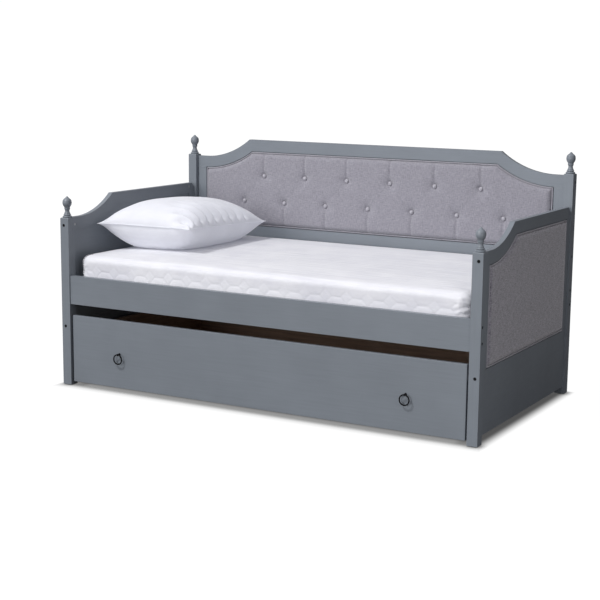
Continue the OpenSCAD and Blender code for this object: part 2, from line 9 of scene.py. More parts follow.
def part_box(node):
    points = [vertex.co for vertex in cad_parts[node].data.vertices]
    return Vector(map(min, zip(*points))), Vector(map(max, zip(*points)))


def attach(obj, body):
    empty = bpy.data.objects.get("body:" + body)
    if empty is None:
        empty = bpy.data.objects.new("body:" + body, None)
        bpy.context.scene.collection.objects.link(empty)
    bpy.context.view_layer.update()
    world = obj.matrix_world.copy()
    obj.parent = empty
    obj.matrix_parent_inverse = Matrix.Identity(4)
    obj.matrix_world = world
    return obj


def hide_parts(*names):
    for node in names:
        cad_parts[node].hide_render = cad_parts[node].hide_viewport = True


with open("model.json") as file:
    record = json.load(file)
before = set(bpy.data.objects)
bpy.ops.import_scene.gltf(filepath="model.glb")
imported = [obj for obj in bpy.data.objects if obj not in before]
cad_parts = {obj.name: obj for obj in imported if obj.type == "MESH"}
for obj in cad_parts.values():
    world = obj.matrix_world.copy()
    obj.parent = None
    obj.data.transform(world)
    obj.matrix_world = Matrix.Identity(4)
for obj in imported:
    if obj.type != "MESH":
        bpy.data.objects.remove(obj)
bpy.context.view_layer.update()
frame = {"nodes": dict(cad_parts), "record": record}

# Depths in the bed's own drawing start at the front face of its posts
FRONT = -0.5255


# ------------------------------------------------------------------ camera, light and floor
CAMERA_AT = (2.9604, -5.3563, 1.4808)
CAMERA_AZIMUTH, CAMERA_PITCH, CAMERA_ROLL = 28.43, 10.25, 0.777


def make_camera():
    azimuth, pitch, roll = (math.radians(a) for a in (CAMERA_AZIMUTH, CAMERA_PITCH, CAMERA_ROLL))
    flat = math.cos(pitch)
    forward = Vector((-math.sin(azimuth) * flat, math.cos(azimuth) * flat, -math.sin(pitch)))
    level = Vector((math.cos(azimuth), math.sin(azimuth), 0))
    above = level.cross(forward)
    right = math.cos(roll) * level + math.sin(roll) * above
    up = math.cos(roll) * above - math.sin(roll) * level
    data = bpy.data.cameras.new("camera")
    data.sensor_width = 36
    data.lens = 82.93
    data.shift_x = -0.0448
    data.shift_y = 0.0129
    cam = bpy.data.objects.new("camera", data)
    turned = Matrix((right, up, -forward)).transposed().to_4x4()
    cam.matrix_world = Matrix.Translation(CAMERA_AT) @ turned
    bpy.context.collection.objects.link(cam)
    bpy.context.scene.camera = cam


# Point lamps: name, place, power in watts, radius
LAMPS = (("key", (-2.4, -4.8, 7.4), 1420, 0.5), ("side", (1.9, -1.2, 0.55), 8.8, 0.3))


def make_lamps():
    for name, place, power, radius in LAMPS:
        lamp = bpy.data.lights.new(name, "POINT")
        lamp.energy = power
        lamp.shadow_soft_size = radius
        holder = bpy.data.objects.new(name, lamp)
        holder.location = place
        holder.visible_camera = False
        bpy.context.collection.objects.link(holder)
    fill = bpy.data.lights.new("fill", "SUN")
    fill.energy = 0.76
    fill.angle = math.radians(20)
    holder = bpy.data.objects.new("fill", fill)
    holder.rotation_mode = "QUATERNION"
    holder.rotation_quaternion = Vector((-0.25, -0.945, 0.2)).to_track_quat("Z", "Y")
    bpy.context.collection.objects.link(holder)


def make_world():
    world = bpy.data.worlds.new("studio")
    bpy.context.scene.world = world
    world.use_nodes = True
    tree = world.node_tree
    tree.nodes.clear()
    new, link = tree.nodes.new, tree.links.new
    coord = new("ShaderNodeTexCoord")
    facing = new("ShaderNodeVectorMath")
    facing.operation = "DOT_PRODUCT"
    facing.inputs[1].default_value = Vector((-0.62, -0.55, 0.56)).normalized()
    link(coord.outputs["Generated"], facing.inputs[0])
    ramp = new("ShaderNodeValToRGB")
    span = new("ShaderNodeMapRange")
    span.inputs["From Min"].default_value = -1
    link(facing.outputs["Value"], span.inputs["Value"])
    link(span.outputs["Result"], ramp.inputs["Fac"])
    ramp.color_ramp.elements[0].position = 0.22
    ramp.color_ramp.elements[0].color = (0.11, 0.104, 0.104, 1)
    ramp.color_ramp.elements[1].position = 0.85
    ramp.color_ramp.elements[1].color = (0.745, 0.745, 0.775, 1)
    lighting = new("ShaderNodeBackground")
    lighting.inputs["Strength"].default_value = 1.0
    link(ramp.outputs["Color"], lighting.inputs["Color"])
    white = new("ShaderNodeBackground")
    white.inputs["Color"].default_value = (1, 1, 1, 1)
    white.inputs["Strength"].default_value = 1.02
    path = new("ShaderNodeLightPath")
    mix = new("ShaderNodeMixShader")
    out = new("ShaderNodeOutputWorld")
    link(path.outputs["Is Camera Ray"], mix.inputs["Fac"])
    link(lighting.outputs[0], mix.inputs[1])
    link(white.outputs[0], mix.inputs[2])
    link(mix.outputs[0], out.inputs["Surface"])


# The bedstead's pool of shade goes from dark to clear over these half widths and depths
SHADE_BESIDE = (0.984, 1.055)
SHADE_IN_FRONT = (FRONT + 0.11, FRONT - 0.085)
SHADE_BEHIND = (0.53, 0.57)
DARKEST = 0.08


def make_floor():
    mesh = bpy.data.meshes.new("floor")
    half = 60
    corners = [(-half, -half, 0), (half, -half, 0), (half, half, 0), (-half, half, 0)]
    mesh.from_pydata(corners, [], [(0, 1, 2, 3)])
    floor = bpy.data.objects.new("floor", mesh)
    bpy.context.collection.objects.link(floor)
    mat = bpy.data.materials.new("floor")
    mat.use_nodes = True
    tree = mat.node_tree
    tree.nodes.clear()
    new, link = tree.nodes.new, tree.links.new
    seen = new("ShaderNodeBsdfDiffuse")
    seen.inputs["Color"].default_value = (0.06, 0.06, 0.06, 1)

    def fade(value, limits):
        ramp = new("ShaderNodeMapRange")
        ramp.interpolation_type = "SMOOTHSTEP"
        ramp.inputs["From Min"].default_value = limits[0]
        ramp.inputs["From Max"].default_value = limits[1]
        link(value, ramp.inputs["Value"])
        return ramp.outputs["Result"]

    def calc(operation, *parts):
        node = new("ShaderNodeMath")
        node.operation = operation
        for n, part in enumerate(parts):
            if isinstance(part, float):
                node.inputs[n].default_value = part
            else:
                link(part, node.inputs[n])
        return node.outputs[0]

    # a soft pool of shade under the bedstead, and a close one wherever a part comes near the floor
    split = new("ShaderNodeSeparateXYZ")
    link(new("ShaderNodeTexCoord").outputs["Object"], split.inputs[0])
    beside = fade(calc("ABSOLUTE", split.outputs[0]), SHADE_BESIDE)
    ends = calc("MAXIMUM", fade(split.outputs[1], SHADE_IN_FRONT), fade(split.outputs[1], SHADE_BEHIND))
    near = new("ShaderNodeAmbientOcclusion")
    near.samples = 8
    near.inputs["Distance"].default_value = 0.035
    contact = calc("POWER", near.outputs["AO"], 1.2)
    shade_here = calc("MULTIPLY", calc("MAXIMUM", beside, ends), contact)
    lit = calc("MULTIPLY_ADD", shade_here, 1 - DARKEST, DARKEST)
    glow = new("ShaderNodeEmission")
    link(lit, glow.inputs["Strength"])
    both = new("ShaderNodeAddShader")
    link(seen.outputs[0], both.inputs[0])
    link(glow.outputs[0], both.inputs[1])
    bounce = new("ShaderNodeBsdfDiffuse")
    bounce.inputs["Color"].default_value = (0.13, 0.13, 0.13, 1)
    path = new("ShaderNodeLightPath")
    mix = new("ShaderNodeMixShader")
    out = new("ShaderNodeOutputMaterial")
    link(path.outputs["Is Camera Ray"], mix.inputs["Fac"])
    link(bounce.outputs[0], mix.inputs[1])
    link(both.outputs[0], mix.inputs[2])
    link(mix.outputs[0], out.inputs["Surface"])
    mesh.materials.append(mat)


make_camera()
make_world()
make_floor()
make_lamps()
bpy.context.scene.view_settings.view_transform = "Standard"


# ------------------------------------------------------------------ materials
class Look:
    """A procedural material: a Principled shader with the nodes that drive it."""

    def __init__(self, name, **fixed):
        self.mat = bpy.data.materials.new(name)
        self.mat.use_nodes = True
        self.tree = self.mat.node_tree
        self.tree.nodes.clear()
        self.shader = self.tree.nodes.new("ShaderNodeBsdfPrincipled")
        out = self.tree.nodes.new("ShaderNodeOutputMaterial")
        self.tree.links.new(self.shader.outputs[0], out.inputs["Surface"])
        self.place = self.tree.nodes.new("ShaderNodeTexCoord").outputs["Object"]
        for key, value in fixed.items():
            self.shader.inputs[key.replace("_", " ")].default_value = value

    def put(self, socket, name):
        self.tree.links.new(socket, self.shader.inputs[name])

    def add(self, kind, links=(), **settings):
        node = self.tree.nodes.new(kind)
        for key, value in settings.items():
            setattr(node, key, value)
        for index, value in links:
            if isinstance(value, bpy.types.NodeSocket):
                self.tree.links.new(value, node.inputs[index])
            else:
                node.inputs[index].default_value = value
        return node

    def noise(self, scale, detail=3.0, rough=0.5, distortion=0.0, place=None):
        """Noise with so many grains to the metre along each axis."""
        place = self.place if place is None else place
        spread = self.add("ShaderNodeMapping", [("Vector", place), ("Scale", scale)]).outputs[0]
        return self.add("ShaderNodeTexNoise", [("Vector", spread), ("Scale", 1.0), ("Detail", detail),
                        ("Roughness", rough), ("Distortion", distortion)]).outputs["Fac"]

    def math(self, how, a, b):
        return self.add("ShaderNodeMath", [(0, a), (1, b)], operation=how).outputs[0]

    def span(self, value, low, high, start=0.0, end=1.0):
        return self.add("ShaderNodeMapRange", [("Value", value), ("From Min", start), ("From Max", end),
                        ("To Min", low), ("To Max", high)]).outputs[0]

    def ramp(self, value, stops):
        node = self.add("ShaderNodeValToRGB", [("Fac", value)])
        band = node.color_ramp
        while len(band.elements) < len(stops):
            band.elements.new(0.5)
        for element, (position, colour) in zip(band.elements, stops):
            element.position = position
            element.color = (*colour, 1)
        return node.outputs["Color"]

    def bump(self, height, distance, strength=1.0, under=None):
        links = [("Height", height), ("Distance", distance), ("Strength", strength)]
        if under is not None:
            links.append(("Normal", under))
        return self.add("ShaderNodeBump", links).outputs["Normal"]


PAINT = (0.196, 0.218, 0.246)


def shade(colour, factor):
    return tuple(c * factor for c in colour)


def painted(name, grain):
    look = Look(name, IOR=1.45)
    streaks = look.noise(grain, 5, 0.55)
    clouds = look.noise((5, 5, 5), 2)
    tone = look.math("ADD", look.math("MULTIPLY", streaks, 0.45), look.math("MULTIPLY", clouds, 0.55))
    look.put(look.ramp(tone, [(0.3, shade(PAINT, 0.93)), (0.7, shade(PAINT, 1.07))]), "Base Color")
    look.put(look.span(look.noise((40, 40, 40), 3), 0.32, 0.46), "Roughness")
    pores = look.noise(shade(grain, 2.6), 2, 0.6)
    orange = look.bump(look.noise((700, 700, 700), 2), 0.00004)
    brushed = look.math("ADD", streaks, look.math("MULTIPLY", pores, 0.4))
    look.put(look.bump(brushed, 0.0003, 0.8, orange), "Normal")
    return look.mat


def bare_wood(name, grain, dark, light, rough):
    look = Look(name, IOR=1.45)
    rings = look.noise(grain, 6, 0.6, 0.6)
    fibres = look.noise(shade(grain, 5), 3)
    tone = look.math("ADD", look.math("MULTIPLY", rings, 0.75), look.math("MULTIPLY", fibres, 0.25))
    middle = tuple((a + b) / 2 for a, b in zip(dark, light))
    look.put(look.ramp(tone, [(0.3, dark), (0.5, middle), (0.68, light)]), "Base Color")
    look.put(look.span(fibres, rough - 0.08, rough + 0.1), "Roughness")
    look.put(look.bump(look.math("ADD", rings, fibres), 0.0004), "Normal")
    return look.mat


def woven(name, dark, light, thread=0.0019, span=(0.39, 0.70), sheen=0.5):
    """Plain-weave cloth on upright faces: its threads run level and upright."""
    look = Look(name, Roughness=0.85, Sheen_Weight=sheen, Sheen_Roughness=0.5, IOR=1.4)
    split = look.add("ShaderNodeSeparateXYZ", [(0, look.place)])
    along = look.math("ADD", split.outputs[0], split.outputs[1])
    flat = look.add("ShaderNodeCombineXYZ", [(0, along), (1, 0.0), (2, split.outputs[2])]).outputs[0]

    def waves(direction):
        settings = [("Vector", flat), ("Scale", 0.314 / thread), ("Distortion", 0.6), ("Detail", 1.0),
                    ("Detail Scale", 0.3)]
        return look.add("ShaderNodeTexWave", settings, bands_direction=direction).outputs["Fac"]

    warp, weft = waves("X"), waves("Z")
    level, upright = look.noise((40, 1, 380), place=flat), look.noise((380, 1, 40), place=flat)
    tufts = look.noise((150, 1, 150), 4, place=flat)
    heather = look.math("ADD", look.math("MULTIPLY", look.math("ADD", level, upright), 0.36),
                        look.math("MULTIPLY", tufts, 0.28))
    weave = look.math("MULTIPLY", look.math("ADD", warp, weft), 0.5)
    tone = look.math("ADD", heather, look.math("MULTIPLY", weave, 0.12))
    look.put(look.ramp(tone, [(span[0], dark), (span[1], light)]), "Base Color")
    rise = look.bump(look.math("ADD", weave, look.math("MULTIPLY", heather, 0.8)), 0.0005, 0.7)
    look.put(rise, "Normal")
    return look.mat


def ticking(name):
    """Knitted mattress cover: fine ribs across the top, a smooth face on the sides."""
    look = Look(name, Roughness=0.8, Sheen_Weight=0.15, IOR=1.4, Subsurface_Weight=0.3,
                Subsurface_Scale=0.03, Subsurface_Radius=(1, 1, 1))
    ribs = look.noise((4, 66, 7), 4, 0.6)
    knit = look.noise((900, 900, 900), 2)
    clouds = look.noise((7, 7, 7), 2)
    tone = look.math("ADD", look.math("MULTIPLY", ribs, 0.6), look.math("MULTIPLY", clouds, 0.4))
    look.put(look.ramp(tone, [(0.36, (0.715, 0.715, 0.765)), (0.58, (0.81, 0.81, 0.845))]), "Base Color")
    fine = look.bump(knit, 0.0002, 0.5)
    look.put(look.bump(ribs, 0.008, 0.9, fine), "Normal")
    return look.mat


def sateen(name):
    """Smooth pillow cloth; its slight bluish glow is painted light, which brightens the shade on its
    underside and in its folds.
    """
    look = Look(name, Roughness=0.62, Sheen_Weight=0.2, IOR=1.4, Subsurface_Weight=0.3,
                Subsurface_Scale=0.006, Subsurface_Radius=(1, 1, 1),
                Emission_Color=(0.85, 0.88, 1, 1), Emission_Strength=0.13)
    clouds = look.noise((9, 9, 9), 3)
    look.put(look.ramp(clouds, [(0.35, (0.655, 0.66, 0.70)), (0.65, (0.70, 0.705, 0.745))]), "Base Color")
    weave = look.bump(look.noise((1100, 1100, 1100), 2), 0.00012, 0.6)
    look.put(look.bump(look.noise((34, 34, 34), 4, 0.55, 0.8), 0.0016, 0.55, weave), "Normal")
    return look.mat


def moulded(name, colour, rough):
    look = Look(name, IOR=1.5)
    specks = look.noise((600, 600, 600), 2)
    clouds = look.noise((60, 60, 60))
    look.put(look.ramp(clouds, [(0.35, shade(colour, 0.9)), (0.65, shade(colour, 1.1))]), "Base Color")
    look.put(look.span(specks, rough - 0.08, rough + 0.08), "Roughness")
    look.put(look.bump(specks, 0.00006), "Normal")
    return look.mat


def metal(name, colour, rough, metallic, brush, gloss=0.5):
    look = Look(name, Metallic=metallic, IOR=1.5, Specular_IOR_Level=gloss)
    lines = look.noise(brush, 3)
    look.put(look.ramp(lines, [(0.35, shade(colour, 0.88)), (0.65, shade(colour, 1.12))]), "Base Color")
    look.put(look.span(lines, rough - 0.08, rough + 0.1), "Roughness")
    look.put(look.bump(lines, 0.00005), "Normal")
    return look.mat


PAINTS = {"x": painted("grey_paint_level", (7, 190, 190)), "y": painted("grey_paint_deep", (190, 7, 190)),
          "z": painted("grey_paint_upright", (190, 190, 7))}
PINES = {"x": bare_wood("pine_level", (3, 90, 90), (0.42, 0.27, 0.14), (0.66, 0.49, 0.30), 0.6),
         "y": bare_wood("pine_deep", (90, 3, 90), (0.42, 0.27, 0.14), (0.66, 0.49, 0.30), 0.6)}
BROWNS = {"x": bare_wood("brown_level", (3, 80, 80), (0.29, 0.185, 0.135), (0.53, 0.365, 0.275), 0.55),
          "y": bare_wood("brown_deep", (80, 3, 80), (0.25, 0.155, 0.11), (0.46, 0.31, 0.23), 0.55)}
CLOTH = woven("grey_upholstery", (0.18, 0.172, 0.20), (0.36, 0.35, 0.395), sheen=0.6)
SIDE_CLOTH = woven("grey_side_upholstery", (0.105, 0.098, 0.12), (0.395, 0.375, 0.43),
                   0.0026, (0.48, 0.62), 0.7)
# The welt is the padding's own cloth, painted lighter: a painted highlight along the frame's edge.
WELT = woven("grey_welt", (0.25, 0.24, 0.28), (0.42, 0.41, 0.455), 0.0016)
# The buttons' cloth is painted lighter than the padding's: a painted highlight for the light their domes
# catch.
BUTTON = woven("grey_button", (0.31, 0.30, 0.335), (0.50, 0.49, 0.535), 0.0016)
THREAD = moulded("grey_thread", (0.05, 0.05, 0.06), 0.7)
TICKING = ticking("mattress_ticking")
SATEEN = sateen("pillow_sateen")
LOOKS = {
    "black_steel": metal("black_steel", (0.006, 0.006, 0.007), 0.5, 0.0, (90, 90, 90), 0.2),
    "black_iron": metal("black_iron", (0.003, 0.003, 0.004), 0.6, 0.0, (160, 160, 160), 0.15),
    "zinc_steel": metal("zinc_steel", (0.5, 0.5, 0.49), 0.34, 1.0, (700, 60, 60)),
    "wheel_nylon": moulded("wheel_nylon", (0.03, 0.03, 0.032), 0.42),
    "glide_nylon": moulded("glide_nylon", (0.04, 0.04, 0.045), 0.5),
    "bumper_nylon": moulded("bumper_nylon", (0.78, 0.78, 0.77), 0.4),
    "webbing": woven("webbing_strap", (0.02, 0.02, 0.02), (0.05, 0.05, 0.05), 0.002, sheen=0.1),
}
# Which way a board's grain runs: depth or height, or else width
PAINTED_DEEP = ("arm_top_rail", "arm_lower_panel", "arm_backing")
PAINTED_UPRIGHT = ("post", "finial", "stile")
BARE_DEEP = ("bed_slats", "trundle_slats", "trundle_cleats")


def paint_grain(node):
    if any(part in node for part in PAINTED_UPRIGHT):
        return "z"
    return "y" if any(part in node for part in PAINTED_DEEP) else "x"


def dress(obj, mat):
    if not obj.data.materials:
        obj.data.materials.append(mat)
    for i in range(len(obj.data.materials)):
        obj.data.materials[i] = mat


def ease_edges(obj, width):
    """Rounds a wooden piece's sharp edges with modifiers, which leave the CAD mesh as it is."""
    weld = obj.modifiers.new("weld", "WELD")
    weld.merge_threshold = 0.00002
    flat = obj.modifiers.new("flat", "DECIMATE")
    flat.decimate_type = "DISSOLVE"
    flat.angle_limit = math.radians(1.5)
    round_off = obj.modifiers.new("ease", "BEVEL")
    round_off.width = width
    round_off.segments = 2
    round_off.limit_method = "ANGLE"
    round_off.angle_limit = math.radians(40)
    round_off.harden_normals = False


for sub in frame["record"]["subparts"]:
    node, slot = sub["node"], sub["material_slot"]
    obj = frame["nodes"][node]
    if slot == "grey_paint":
        dress(obj, PAINTS[paint_grain(node)])
    elif slot == "natural_wood":
        dress(obj, PINES["y" if node in BARE_DEEP else "x"])
    elif slot == "brown_board":
        dress(obj, BROWNS["x" if node == "trundle_back" else "y"])
    elif slot in LOOKS:
        dress(obj, LOOKS[slot])

for node, obj in frame["nodes"].items():
    if obj.material_slots[0].material in PAINTS.values() and "finial" not in node:
        thin = "arm_" in node and "top_rail" not in node
        ease_edges(obj, 0.0008 if thin else 0.002)


# ------------------------------------------------------------------ shape helpers
def new_object(name, verts, faces, mat, outwards=True, weld=0.0):
    """A smooth-shaded object from its corners and faces, which are turned to face outwards."""
    mesh = bpy.data.meshes.new(name)
    mesh.from_pydata(verts, [], faces)
    if outwards:
        shape = bmesh.new()
        shape.from_mesh(mesh)
        if weld:
            bmesh.ops.remove_doubles(shape, verts=shape.verts, dist=weld)
        bmesh.ops.recalc_face_normals(shape, faces=shape.faces)
        shape.to_mesh(mesh)
        shape.free()
    mesh.polygons.foreach_set("use_smooth", [True] * len(mesh.polygons))
    mesh.materials.append(mat)
    mesh.update()
    obj = bpy.data.objects.new(name, mesh)
    bpy.context.collection.objects.link(obj)
    return obj


def grid_faces(columns, rows, closed=False):
    faces = []
    wrap = columns if closed else columns - 1
    for i in range(wrap):
        k = (i + 1) % columns
        for j in range(rows - 1):
            faces.append((i * rows + j, k * rows + j, k * rows + j + 1, i * rows + j + 1))
    return faces


def smooth_step(low, high, value):
    t = min(max((value - low) / (high - low), 0), 1)
    return t * t * (3 - 2 * t)


def ripple(point, size, seed):
    return noise.noise(Vector(point) / size + Vector((seed, 2.3 * seed, -1.7 * seed)))


# ------------------------------------------------------------------ upholstered panels
class Opening:
    """A padded panel's outline: level bottom, upright ends, and a top sweeping down on arcs at its ends."""

    def __init__(self, low, high, bottom, top, sweeps):
        self.low, self.high, self.bottom, self.top = low, high, bottom, top
        self.sweeps = sweeps

    def roof(self, u):
        best = self.top
        for centre, height, radius, side in self.sweeps:
            reach = (u - centre) * side
            if reach > -radius:
                drop = math.sqrt(max(radius * radius - (u - centre) ** 2, 0))
                if reach > 0 or height - drop < self.top:
                    best = min(best, height - drop if reach < 0 else height - radius)
        return best

    def edge(self, u, v):
        """Distance from a point inside to the outline, near enough for rounding the edge."""
        near = min(u - self.low, self.high - u, v - self.bottom)
        slope = 0
        if self.low + 0.002 < u < self.high - 0.002:
            slope = (self.roof(u + 0.002) - self.roof(u - 0.002)) / 0.004
        return min(near, (self.roof(u) - v) / math.sqrt(1 + slope * slope))

    def outline(self, inset, step=0.008):
        """Points round the outline, inset by a distance, starting at the bottom left."""
        low, high, bottom = self.low + inset, self.high - inset, self.bottom + inset
        count = round((high - low) / step)
        us = [low + (high - low) * i / count for i in range(count + 1)]

        def roof(u):
            slope = (self.roof(u + 0.001) - self.roof(u - 0.001)) / 0.002
            return self.roof(u) - inset * math.sqrt(1 + slope * slope)

        points = [(u, bottom) for u in us]
        for end, way in ((high, 1), (low, -1)):
            ups = max(round((roof(end) - bottom) / step), 2)
            side = [(end, bottom + (roof(end) - bottom) * i / ups) for i in range(1, ups)]
            if way > 0:
                points += side + [(u, roof(u)) for u in reversed(us)]
            else:
                points += side[::-1]
        return points


def padded_panel(name, opening, height, place, back, spacing, mat):
    """A panel over an opening: height(u, v, edge) is how proud it is, place(u, v, h) makes that a point."""
    columns = round((opening.high - opening.low) / spacing) + 1
    rows = round((opening.top - opening.bottom) / spacing) + 1
    verts = []
    for i in range(columns):
        t = i / (columns - 1)
        u = opening.low + (opening.high - opening.low) * t
        roof = opening.roof(u)
        for j in range(rows):
            v = opening.bottom + (roof - opening.bottom) * j / (rows - 1)
            verts.append(place(u, v, height(u, v, max(opening.edge(u, v), 0))))
    faces = grid_faces(columns, rows)
    rim = [i * rows for i in range(columns)] + [(columns - 1) * rows + j for j in range(1, rows)]
    rim += [i * rows + rows - 1 for i in range(columns - 2, -1, -1)] + [j for j in range(rows - 2, 0, -1)]
    first = len(verts)
    for index in rim:
        i, j = divmod(index, rows)
        u = opening.low + (opening.high - opening.low) * i / (columns - 1)
        v = opening.bottom + (opening.roof(u) - opening.bottom) * j / (rows - 1)
        verts.append(place(u, v, back))
    n = len(rim)
    faces += [(rim[k], first + k, first + (k + 1) % n, rim[(k + 1) % n]) for k in range(n)]
    faces.append(tuple(range(first + n - 1, first - 1, -1)))
    return new_object(name, verts, faces, mat)


def tube(name, points, radius, mat, sides=8):
    """A closed cord of welting along a flat outline. Its corners are kept."""
    count = len(points)
    verts, faces = [], []
    centre = sum(points, Vector()) / count
    normal = Vector()
    for i, p in enumerate(points):
        normal += (p - centre).cross(points[(i + 1) % count] - centre)
    normal.normalize()
    for i, p in enumerate(points):
        way = (points[(i + 1) % count] - points[i - 1]).normalized()
        out = way.cross(normal).normalized()
        for k in range(sides):
            a = 2 * math.pi * k / sides
            verts.append(p + out * radius * math.cos(a) + normal * radius * math.sin(a))
    for i in range(count):
        j = (i + 1) % count
        for k in range(sides):
            m = (k + 1) % sides
            faces.append((i * sides + k, j * sides + k, j * sides + m, i * sides + m))
    return new_object(name, verts, faces, mat)


def round_over(edge, radius):
    t = min(edge / radius, 1)
    return math.sqrt(1 - (1 - t) ** 2)


# Headboard: arcs of 467.6 mm about points 925 mm out
head_low, head_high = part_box("headboard_cushion")
HEAD_FACE = FRONT + 1.037
HEAD_ARC_R = 0.4136 + 0.054
HEAD_ARC_Z = 0.985 + 0.4136
# The padding starts this far inside the frame, and the welt lies between them
WELT_IN = 0.0085
WELT_INSET = 0.0058
WELT_RADIUS = 0.003
head_opening = Opening(head_low[0] - 0.007, head_high[0] + 0.007, 0.650, 1.020,
                       [(0.925, HEAD_ARC_Z, HEAD_ARC_R, 1), (-0.925, HEAD_ARC_Z, HEAD_ARC_R, -1)])
BUTTON_LOW_Z, BUTTON_HIGH_Z = 0.774, 0.902
BUTTON_PITCH = 0.23
BUTTONS = [(BUTTON_PITCH * i, BUTTON_LOW_Z) for i in range(-3, 4)]
BUTTONS += [(BUTTON_PITCH * i / 2, BUTTON_HIGH_Z) for i in (-5, -3, -1, 1, 3, 5)]


def segment_gap(u, v, a, b):
    """Distance to a segment, and how far along it the nearest point is."""
    along = Vector((b[0] - a[0], b[1] - a[1]))
    to = Vector((u - a[0], v - a[1]))
    t = min(max(to.dot(along) / along.length_squared, 0), 1)
    return (to - along * t).length, t


# Creases from each button, as its ends and depth: to the near edge, and fainter to its neighbours
FOLDS = []
for bx, bz in BUTTONS:
    low = bz == BUTTON_LOW_Z
    FOLDS.append(((bx, bz), (bx, 0.652 if low else min(head_opening.roof(bx), 1.02)), 1.0))
    for cx, cz in BUTTONS:
        if low and cz == BUTTON_HIGH_Z and abs(cx - bx) < 0.52 * BUTTON_PITCH:
            FOLDS.append(((bx, bz), (cx, cz), 0.42))


def bell(distance, width):
    return math.exp(-((distance / width) ** 2))


def head_height(u, v, edge):
    rise = 0.0185 * round_over(edge, 0.024) + 0.0025 * smooth_step(0, 0.09, edge)
    pull = 0.0
    for bx, bz in BUTTONS:
        r = math.hypot(u - bx, v - bz)
        if r < 0.12:
            pull = max(pull, 0.0145 * math.exp(-((r / 0.026) ** 1.2)) + 0.003 * bell(r - 0.0115, 0.0035))
            rise += 0.0010 * bell(r - 0.058, 0.024)
    crease = 0.0
    for a, b, depth in FOLDS:
        if abs(u - (a[0] + b[0]) / 2) < 0.09:
            gap, t = segment_gap(u, v, a, b)
            if gap < 0.045:
                weight = depth * (1 - 0.35 * t if depth > 0.9 else 0.4 + 0.6 * abs(2 * t - 1))
                crease = max(crease, weight * (0.0055 * bell(gap, 0.0045) + 0.0035 * bell(gap, 0.017)))
    rise -= max(pull, crease) + 0.3 * min(pull, crease)
    rise += 0.0008 * ripple((u, v, 0), 0.055, 3) * smooth_step(0, 0.03, edge)
    return max(rise, -0.002)


HEAD_SEAT = 0.0065


def head_place(u, v, h):
    return Vector((u, HEAD_FACE + HEAD_SEAT - h, v))


inner_head = Opening(head_opening.low + WELT_IN, head_opening.high - WELT_IN, head_opening.bottom + WELT_IN,
                     head_opening.top - WELT_IN,
                     [(c, z, r + WELT_IN, s) for c, z, r, s in head_opening.sweeps])
head_pad = padded_panel("headboard_pad", inner_head, head_height, head_place,
                        HEAD_SEAT - 0.0115, 0.0048, CLOTH)
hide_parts("headboard_cushion")
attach(head_pad, "bedstead")

head_line = [Vector((u, HEAD_FACE + 0.002, v)) for u, v in head_opening.outline(WELT_INSET)]
head_welt = tube("headboard_welt", head_line, WELT_RADIUS, WELT)
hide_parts("headboard_piping")
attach(head_welt, "bedstead")


def covered_buttons():
    """Domed buttons covered in the same cloth, each pulled into its dimple."""
    verts, faces = [], []
    rings, sides = 7, 20
    radius, dome = 0.0096, 0.0068
    seat = HEAD_FACE - 0.0038
    turns = [math.pi / 2 * k / (rings - 1) for k in range(rings)]
    profile = [(radius * math.sin(a), dome * math.cos(a)) for a in turns]
    profile += [(0.0088, -0.0024), (0.0056, -0.0042)]
    for bx, bz in BUTTONS:
        base = len(verts)
        for r, out in profile[1:]:
            for k in range(sides):
                a = 2 * math.pi * k / sides
                verts.append((bx + r * math.cos(a), seat - out, bz + r * math.sin(a)))
        verts.append((bx, seat - profile[0][1], bz))
        tip = len(verts) - 1
        count = len(profile) - 1
        for k in range(sides):
            m = (k + 1) % sides
            faces.append((tip, base + k, base + m))
            for j in range(count - 1):
                a, b = base + j * sides, base + (j + 1) * sides
                faces.append((a + k, b + k, b + m, a + m))
        faces.append(tuple(base + (count - 1) * sides + k for k in range(sides)))
    return new_object("headboard_button_covers", verts, faces, BUTTON)


covers = covered_buttons()
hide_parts("headboard_buttons")
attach(covers, "bedstead")

# Arms: one arc of 438 mm about a point above the arm's front end
ARM_ARC_Y = FRONT + 0.100
ARM_ARC_Z = 0.762 + 0.3829
ARM_ARC_R = 0.3829 + 0.055
ARM_FACE = 1.007
ARM_BOTTOM, ARM_TOP = 0.296, 0.798
for side, word in ((1, "right"), (-1, "left")):
    arm_low, arm_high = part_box(word + "_arm_cushion")
    # The panel's front is at its low end in depth, where the arc is, so the sweep opens towards the front
    arm_opening = Opening(arm_low[1] - WELT_IN, arm_high[1] + WELT_IN, ARM_BOTTOM, ARM_TOP,
                          [(ARM_ARC_Y, ARM_ARC_Z, ARM_ARC_R, -1)])
    inner_arm = Opening(arm_low[1], arm_high[1], ARM_BOTTOM + WELT_IN, ARM_TOP - WELT_IN,
                        [(ARM_ARC_Y, ARM_ARC_Z, ARM_ARC_R + WELT_IN, -1)])

    def arm_height(u, v, edge):
        rise = 0.0095 * round_over(edge, 0.018) + 0.0022 * smooth_step(0, 0.2, edge)
        return rise + 0.0008 * ripple((u, v, 0), 0.09, 5 + side) * smooth_step(0, 0.05, edge)

    def arm_place(u, v, h):
        return Vector((side * (ARM_FACE - 0.0045 + h), u, v))

    pad = padded_panel(word + "_arm_pad", inner_arm, arm_height, arm_place, -0.0072, 0.008, SIDE_CLOTH)
    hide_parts(word + "_arm_cushion")
    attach(pad, "bedstead")
    line = [Vector((side * (ARM_FACE - 0.001), u, v)) for u, v in arm_opening.outline(WELT_INSET)]
    welt = tube(word + "_arm_welt", line, WELT_RADIUS, WELT)
    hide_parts(word + "_arm_piping")
    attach(welt, "bedstead")


# ------------------------------------------------------------------ mattress
# The quilting's six-sided cells: rows up the side, and the pitch along it
QUILT_ROWS = (0.572, 0.484, 0.396)
QUILT_PITCH = 0.097
# Above this height the quilting is fainter
QUILT_FAINT = 0.53
# Depths below the mattress's top: where its side ends, and its flat middle
SIDE_DROP, CROWN_DROP = 0.041, 0.001
# The sewn seam lies this far round the front left corner, from the front
SEAM_ANGLE = math.radians(32)


